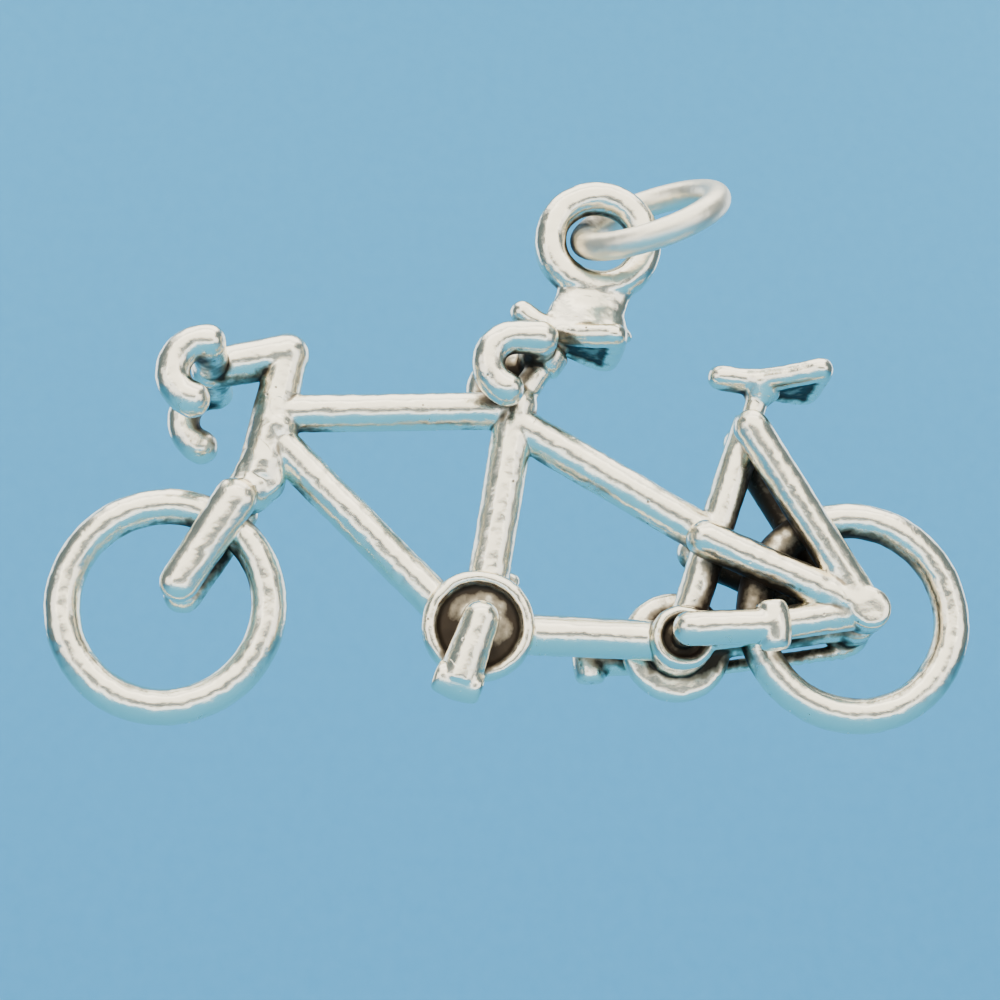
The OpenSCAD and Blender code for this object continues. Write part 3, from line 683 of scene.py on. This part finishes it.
def part_out(whole, shapes_by_node, order, body, prefix, by):
    """Cuts a melted skin into its pieces, each inside its own bare shape and a little more. The last
    one takes what is left."""
    source = skin_cavity(whole)
    pieces = {}
    rest = whole
    for node in order[:-1]:
        cutter = swollen(shapes_by_node[node], by)
        piece = bpy.data.objects.new(node, rest.data.copy())
        bpy.context.scene.collection.objects.link(piece)
        pieces[node] = boolean(piece, cutter, "INTERSECT")
        rest = boolean(rest, cutter, "DIFFERENCE")
        drop_object(cutter)
    pieces[order[-1]] = rest
    for node, piece in pieces.items():
        keep_tarnish_and_shade(piece, source)
        finish_piece(piece, "silver_" + prefix + node, body, prefix + node, OLD_SILVER)


# ---------------------------------------------------------------- finishes

def linear(code):
    """Colour hex to linear light."""
    out = []
    for i in (1, 3, 5):
        c = int(code[i:i + 2], 16) / 255
        out.append(c / 12.92 if c <= 0.04045 else ((c + 0.055) / 1.055) ** 2.4)
    return (*out, 1.0)


def add(tree, kind, inputs=None, **settings):
    """Adds a node, sets it and links its inputs."""
    node = tree.nodes.new(kind)
    for k, v in settings.items():
        setattr(node, k, v)
    for k, v in (inputs or {}).items():
        if isinstance(v, bpy.types.NodeSocket):
            tree.links.new(v, node.inputs[k])
        else:
            node.inputs[k].default_value = v
    return node


def per_mm(size_mm):
    """Texture scale for a pattern of the given size."""
    return 1 / (size_mm * MM)


def ramp(tree, fac, stops):
    """Straight ramp through (place, grey or colour) stops; gives back its colour socket."""
    node = add(tree, "ShaderNodeValToRGB", {"Fac": fac})
    stop_list = node.color_ramp.elements
    while len(stop_list) < len(stops):
        stop_list.new(0.5)
    for stop, (place, col) in zip(stop_list, stops):
        stop.position = place
        stop.color = col if isinstance(col, tuple) else (col, col, col, 1)
    return node.outputs["Color"]


def calc(tree, operation, *values):
    """Adds a maths node and gives back its result socket."""
    return add(tree, "ShaderNodeMath", dict(enumerate(values)), operation=operation).outputs[0]


def pattern(tree, coords, size_mm, detail, roughness):
    """Cloudy noise with features of the given size; gives back its value socket."""
    return add(tree, "ShaderNodeTexNoise", {"Vector": coords, "Scale": per_mm(size_mm), "Detail": detail,
                                            "Roughness": roughness}).outputs["Fac"]


def relief(tree, height, strength, depth_mm, below=None, **settings):
    """Bump of the given depth, laid over another one; gives back its normal socket."""
    inputs = {"Height": height, "Strength": strength, "Distance": depth_mm * MM}
    if below:
        inputs["Normal"] = below
    return add(tree, "ShaderNodeBump", inputs, **settings).outputs[0]


def antiqued_silver(name, bright, grey, oxide_and_shade_colour, wear, pits, polish):
    """Cast sterling silver dipped in liver of sulphur and rubbed back: creamy on the high spots,
    warm grey where it is only half rubbed, brown-black in corners and pits; the dark tones also paint shade."""
    mat = bpy.data.materials.new(name)
    mat.use_nodes = True
    t = mat.node_tree
    t.nodes.clear()
    coords = add(t, "ShaderNodeTexCoord").outputs["Object"]
    oxide_and_shade_share = add(t, "ShaderNodeAttribute", attribute_name=OXIDE_AND_SHADE).outputs["Fac"]
    blotch = pattern(t, coords, 0.9, 3.0, 0.55)
    fleck = pattern(t, coords, 0.22, 4.0, 0.6)
    peel = pattern(t, coords, 0.3, 2.0, 0.5)
    pit = add(t, "ShaderNodeTexVoronoi", {"Vector": coords, "Scale": per_mm(0.42), "Randomness": 1.0})

    # Oxide and painted shade: the crevice share, broken up by flecks and blotches, and more of it in the pits
    flecked = calc(t, "MULTIPLY_ADD", calc(t, "SUBTRACT", fleck, 0.5), 0.55, oxide_and_shade_share)
    blotched = calc(t, "MULTIPLY_ADD", calc(t, "SUBTRACT", blotch, 0.5), 0.5, flecked)
    pit_hole = ramp(t, pit.outputs["Distance"], [(0.0, 1.0), (0.13, 0.0)])
    pit_zone = ramp(t, blotch, [(0.52, 0.0), (0.62, 1.0)])
    pitted = calc(t, "MULTIPLY", pit_hole, pit_zone)
    oxide_and_shade_mix = calc(t, "MULTIPLY_ADD", pitted, pits, blotched)

    # Tone runs from bright silver to the dark oxide colour, which also paints the shade
    tone = ramp(t, oxide_and_shade_mix, [(wear, linear(bright)), (wear + 0.2, linear(grey)),
                              (wear + 0.52, linear(oxide_and_shade_colour))])
    dulled = ramp(t, oxide_and_shade_mix, [(wear - 0.05, polish), (wear + 0.45, 0.52)])
    rough = calc(t, "MULTIPLY_ADD", peel, 0.12, dulled)
    metal = ramp(t, oxide_and_shade_mix, [(wear + 0.2, 1.0), (wear + 0.6, 0.75)])
    normal = relief(t, peel, 0.55, 0.03)
    normal = relief(t, fleck, 0.3, 0.014, normal)
    normal = relief(t, pitted, 0.6, 0.03, normal, invert=True)
    bsdf = add(t, "ShaderNodeBsdfPrincipled", {"Base Color": tone, "Metallic": metal, "Roughness": rough,
                                               "Normal": normal})
    add(t, "ShaderNodeOutputMaterial", {"Surface": bsdf.outputs[0]})
    mat.diffuse_color = linear(bright)
    return mat


# Cast and soldered metal, heavily antiqued, with pits and bright worn edges; its oxide colour also paints
# shade
OLD_SILVER = antiqued_silver("antiqued_cast_silver", "#F6EBD2", "#998B74", "#382D21", 0.13, 0.6, 0.17)
# Drawn jump-ring wire, tumbled to a satin and hardly tarnished; its dark colour also paints shade
RING_SILVER = antiqued_silver("satin_silver_wire", "#F5EAD2", "#B5AB98", "#4A3F33", 0.3, 0.25, 0.36)


# ---------------------------------------------------------------- make the pieces

CUT_ORDER = ["rear_sprocket", "chain", "dropout_left", "dropout_right", "front_timing_dish",
             "rear_drive_dish", "front_crank_shell", "rear_crank_shell", "fork_crown", "fork_blade_left",
             "fork_blade_right", "bail_ring", "front_saddle", "bail_foot", "rear_saddle",
             "stoker_handlebar", "stoker_collar", "front_handlebar", "front_seat_post", "rear_seat_post",
             "stem", "chainstay_left", "chainstay_right", "seatstay_left", "seatstay_right",
             "twin_lateral_left", "twin_lateral_right", "front_wheel", "rear_wheel", "boom_tube",
             "rear_seat_tube", "front_seat_tube", "lateral_tube", "down_tube", "top_tube", "head_tube"]
CRANK_CUT_ORDER = ["pedal_left", "pedal_right", "crank_left", "crank_right", "axle"]
BORE_R, BORE_HALF = 0.33, 2.2


def jump_ring():
    """Round wire bent to a circle, its ends meeting at a seam."""
    rise, roll = 25.5, 32.0  # how the ring stands in the eye, in degrees
    wire_r, bend_r, half_gap = 0.41, 2.05, 0.4  # the seam's gap in degrees
    lo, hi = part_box("jump_ring")
    bm = bmesh.new()
    bmesh.ops.create_circle(bm, cap_ends=False, segments=28, radius=wire_r * MM)
    bmesh.ops.rotate(bm, cent=(0, 0, 0), matrix=Matrix.Rotation(deg(90), 3, "X"), verts=bm.verts[:])
    bmesh.ops.translate(bm, vec=(bend_r * MM, 0, 0), verts=bm.verts[:])
    seam = Matrix.Rotation(deg(180 + half_gap), 3, "Z")
    bmesh.ops.rotate(bm, cent=(0, 0, 0), matrix=seam, verts=bm.verts[:])
    bmesh.ops.spin(bm, geom=bm.verts[:] + bm.edges[:], cent=(0, 0, 0), axis=(0, 0, 1),
                   angle=deg(360 - 2 * half_gap), steps=150, use_merge=False)
    bmesh.ops.holes_fill(bm, edges=[e for e in bm.edges if e.is_boundary], sides=0)
    bmesh.ops.recalc_face_normals(bm, faces=bm.faces[:])
    lean = Matrix.Rotation(deg(-rise), 3, "Y") @ Matrix.Rotation(deg(roll), 3, "X")
    bmesh.ops.rotate(bm, cent=(0, 0, 0), matrix=lean, verts=bm.verts[:])
    bmesh.ops.translate(bm, vec=(lo + hi) / 2, verts=bm.verts[:])
    return obj_from_bm(bm, "jump_ring_wire")


shapes = soldered()
skin = copy_of([o for objs in shapes.values() for o in objs], "skin")
fuse(skin, FRAME_PITCH, 20, 0.07)

crank_shapes = {
    "front": crankset(FRONT_CRANK, -1.65, 1.43, 1.85, -109, 0.48, 0.55),
    "rear": crankset(REAR_CRANK, -1.81, 2.13, 2.3, 3, 0.44, 0.44),
}
crank_skins = {}
for which, centre in (("front", FRONT_CRANK), ("rear", REAR_CRANK)):
    bore = lathe([(0.0, -BORE_HALF), (BORE_R, -BORE_HALF), (BORE_R, BORE_HALF), (0.0, BORE_HALF)],
                 centre, "bore", 48)
    boolean(skin, bore, "DIFFERENCE")
    drop_object(bore)
    crank_skins[which] = copy_of([o for objs in crank_shapes[which].values() for o in objs], which)
    fuse(crank_skins[which], CRANK_PITCH, 14, 0.05)

hammer(skin, 0.012, 0.3, 0.02, 1.3, 3)
for seed, crank_skin in enumerate(crank_skins.values(), 5):
    hammer(crank_skin, 0.01, 0.3, 0.018, 1.1, seed)
ring = jump_ring()

skins = [skin] + list(crank_skins.values())
# Oxide in hollows and painted shade on sheltered and side-on metal, stored on every skin and the ring
for each in skins:
    tarnish_and_shade(each, skins)
tarnish_and_shade(ring, [skin, ring], 1.0)

part_out(skin, shapes, CUT_ORDER, "bicycle", "", 0.26)
for which, crank_skin in crank_skins.items():
    part_out(crank_skin, crank_shapes[which], CRANK_CUT_ORDER, which + "_crankset", which + "_", 0.2)
finish_piece(ring, "silver_jump_ring", "ring", "jump_ring", RING_SILVER)

for by_node in (shapes, *crank_shapes.values()):
    for objs in by_node.values():
        for bare in objs:
            drop_object(bare)


# ---------------------------------------------------------------- studio

FLOOR_Z = -0.075


def pale_card():
    """Pale matt card, with a faint fibre."""
    mat = bpy.data.materials.new("pale_card")
    mat.use_nodes = True
    t = mat.node_tree
    bsdf = t.nodes["Principled BSDF"]
    coords = add(t, "ShaderNodeTexCoord").outputs["Object"]
    fibre = pattern(t, coords, 1.2, 3.0, 0.5)
    tint = ramp(t, fibre, [(0.3, linear("#45A0CE")), (0.7, linear("#4AA4D1"))])
    t.links.new(tint, bsdf.inputs["Base Color"])
    bsdf.inputs["Roughness"].default_value = 0.9
    return mat


def paper_sweep():
    """Card that runs from the floor up a wall in one curve, in metres."""
    front, back, top, bend, half_wide = -0.3, 0.06, 0.3, 0.06, 0.5
    pts = [(front, FLOOR_Z), (back, FLOOR_Z)]
    pts += [(back + bend * math.sin(deg(a)), FLOOR_Z + bend - bend * math.cos(deg(a)))
            for a in range(10, 91, 10)]
    pts += [(back + bend, top)]
    bm = bmesh.new()
    vs = [bm.verts.new((-half_wide, y, z)) for y, z in pts]
    edges = [bm.edges.new(pair) for pair in zip(vs, vs[1:])]
    grown = bmesh.ops.extrude_edge_only(bm, edges=edges)["geom"]
    far_side = [g for g in grown if isinstance(g, bmesh.types.BMVert)]
    bmesh.ops.translate(bm, vec=(2 * half_wide, 0, 0), verts=far_side)
    ob = obj_from_bm(bm, "paper_sweep")
    for poly in ob.data.polygons:
        poly.use_smooth = True
    ob.data.materials.append(pale_card())


def softbox(name, place, size_xy, radiance, aim=(0, 0, -0.006), colour="#FFFFFF"):
    """Rectangular light at a place in metres, turned to the aim; the camera doesn't see it."""
    light = bpy.data.lights.new(name, "AREA")
    light.shape = "RECTANGLE"
    light.size, light.size_y = size_xy
    light.energy = radiance * math.pi * size_xy[0] * size_xy[1]
    light.color = linear(colour)[:3]
    ob = bpy.data.objects.new(name, light)
    ob.location = place
    ob.rotation_mode = "QUATERNION"
    ob.rotation_quaternion = (Vector(aim) - Vector(place)).to_track_quat("-Z", "Y")
    ob.visible_camera = False
    bpy.context.scene.collection.objects.link(ob)


def lights():
    warm = "#FFFBF0"
    softbox("front_top_box", (0.0, -0.14, 0.09), (0.24, 0.15), 3.4, colour=warm)
    softbox("top_box", (0.0, 0.0, 0.14), (0.2, 0.12), 2.6, colour=warm)
    softbox("left_box", (-0.12, -0.11, 0.005), (0.11, 0.085), 2.8)
    softbox("right_box", (0.12, -0.11, 0.005), (0.11, 0.085), 2.8)
    softbox("sky_box", (0.0, -0.05, 0.3), (0.5, 0.5), 1.7, aim=(0, -0.05, 0))
    softbox("back_left_box", (-0.1, 0.1, 0.05), (0.09, 0.11), 2.2)
    softbox("back_right_box", (0.1, 0.1, 0.05), (0.09, 0.11), 2.2)
    softbox("low_box", (0.0, -0.15, -0.053), (0.24, 0.036), 3.4, aim=(0, 0, -0.008))
    world = bpy.data.worlds.new("studio")
    world.use_nodes = True
    background = world.node_tree.nodes["Background"]
    background.inputs["Color"].default_value = linear("#B9DCEA")
    background.inputs["Strength"].default_value = 0.3
    bpy.context.scene.world = world


def camera():
    """Below the charm and to its left, about 60 mm off, looking up at its middle."""
    lens = bpy.data.cameras.new("camera")
    lens.lens = 76.21
    lens.sensor_width = 36
    lens.clip_start, lens.clip_end = 0.001, 10
    ob = bpy.data.objects.new("camera", lens)
    target = Vector((-2.896, 0, -7.932)) * MM
    ob.location = Vector((-7.325, -57.563, -24.269)) * MM
    ob.rotation_mode = "QUATERNION"
    ob.rotation_quaternion = (target - ob.location).to_track_quat("-Z", "Y")
    bpy.context.scene.collection.objects.link(ob)
    bpy.context.scene.camera = ob


paper_sweep()
lights()
camera()
